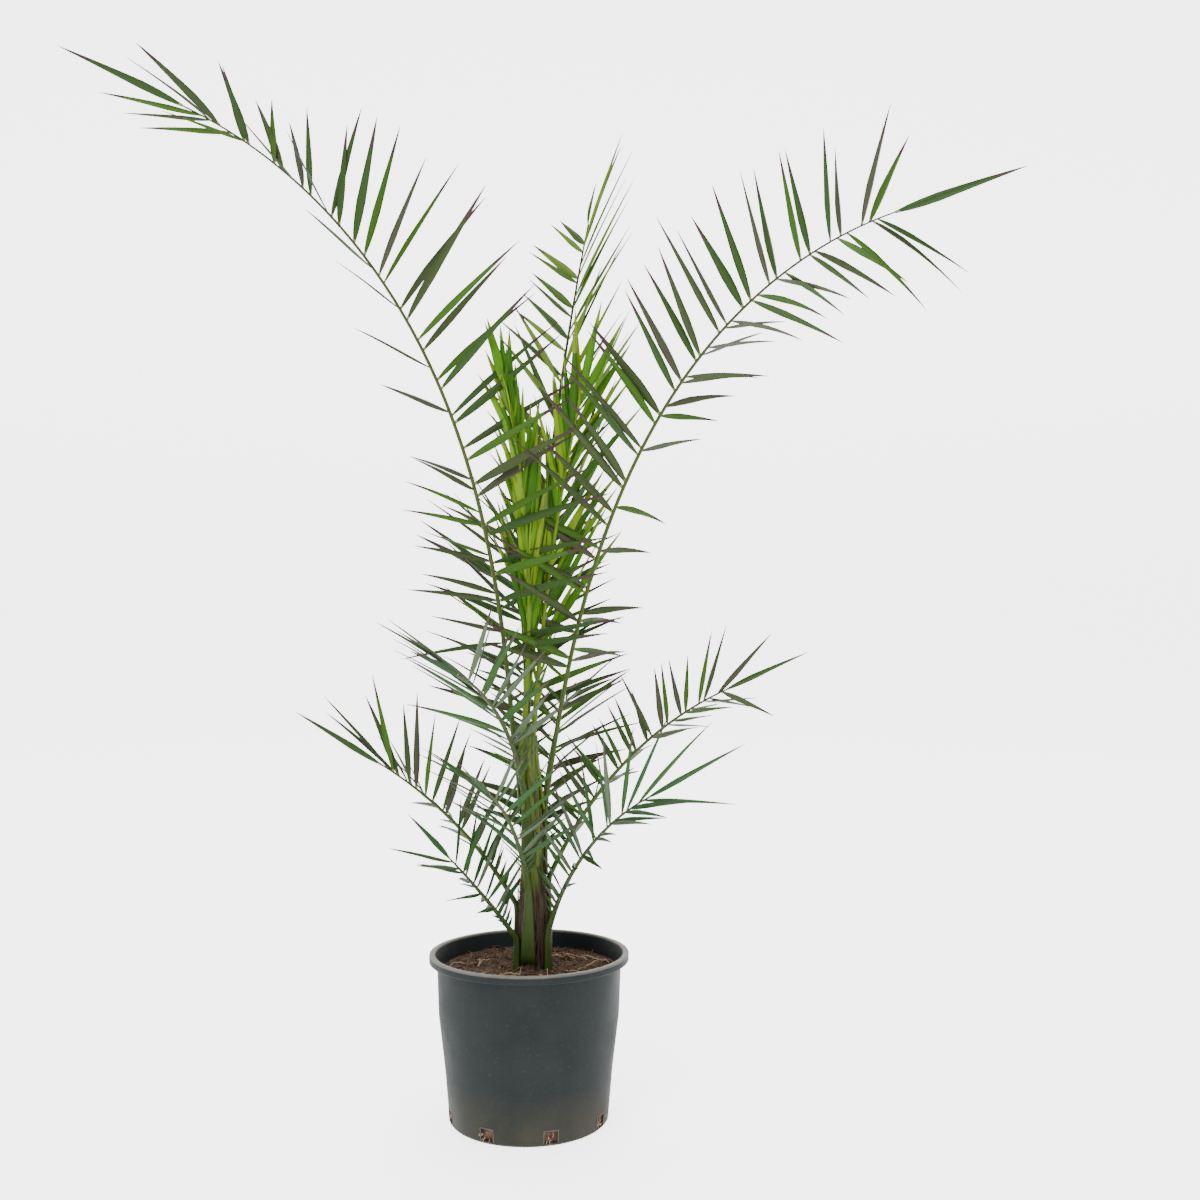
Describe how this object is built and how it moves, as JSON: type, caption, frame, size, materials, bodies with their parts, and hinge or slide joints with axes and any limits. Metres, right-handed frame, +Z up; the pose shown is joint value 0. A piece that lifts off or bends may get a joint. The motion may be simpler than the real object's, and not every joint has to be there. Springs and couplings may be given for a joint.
{
  "type": "potted canary island date palm",
  "caption": "Young feather palm in a round nursery pot: short stem of leaf bases, tall arching fronds, upright young fronds in the heart and short low fronds.",
  "frame": {"origin": "centre of the pot's flat underside", "axes": "+Z up along the pot's axis; the pictured side faces -Y; +X is to the right in the picture"},
  "size_m": [1.5232, 0.8534, 1.6526],
  "materials": {
    "pot_plastic": "moulded, dull, dusty",
    "potting_soil": "coarse bark and coir mix",
    "leaf_bases": "packed leaf bases with brown fibre",
    "stalk_green": "smooth, satin",
    "leaf_green": "satin",
    "young_leaf_green": "satin"
  },
  "bodies": {
    "root": {"back_low_blade": "leaf_green", "back_low_stalk": "stalk_green", "back_mid_blade": "leaf_green", "back_mid_stalk": "stalk_green", "back_tall_blade": "leaf_green", "back_tall_stalk": "stalk_green", "front_blade": "leaf_green", "front_low_blade": "leaf_green", "front_low_stalk": "stalk_green", "front_stalk": "stalk_green", "left_low_blade": "leaf_green", "left_low_stalk": "stalk_green", "left_lowest_blade": "leaf_green", "left_lowest_stalk": "stalk_green", "left_tall_blade_lower": "leaf_green", "left_tall_blade_upper": "leaf_green", "left_tall_stalk": "stalk_green", "pot": "pot_plastic", "right_low_blade": "leaf_green", "right_low_stalk": "stalk_green", "right_mid_blade": "leaf_green", "right_mid_stalk": "stalk_green", "right_tall_blade_lower": "leaf_green", "right_tall_blade_upper": "leaf_green", "right_tall_stalk": "stalk_green", "soil": "potting_soil", "spear_left_blade": "young_leaf_green", "spear_left_stalk": "stalk_green", "spear_right_blade": "young_leaf_green", "spear_right_stalk": "stalk_green", "stem": "leaf_bases"}
  },
  "joints": []
}
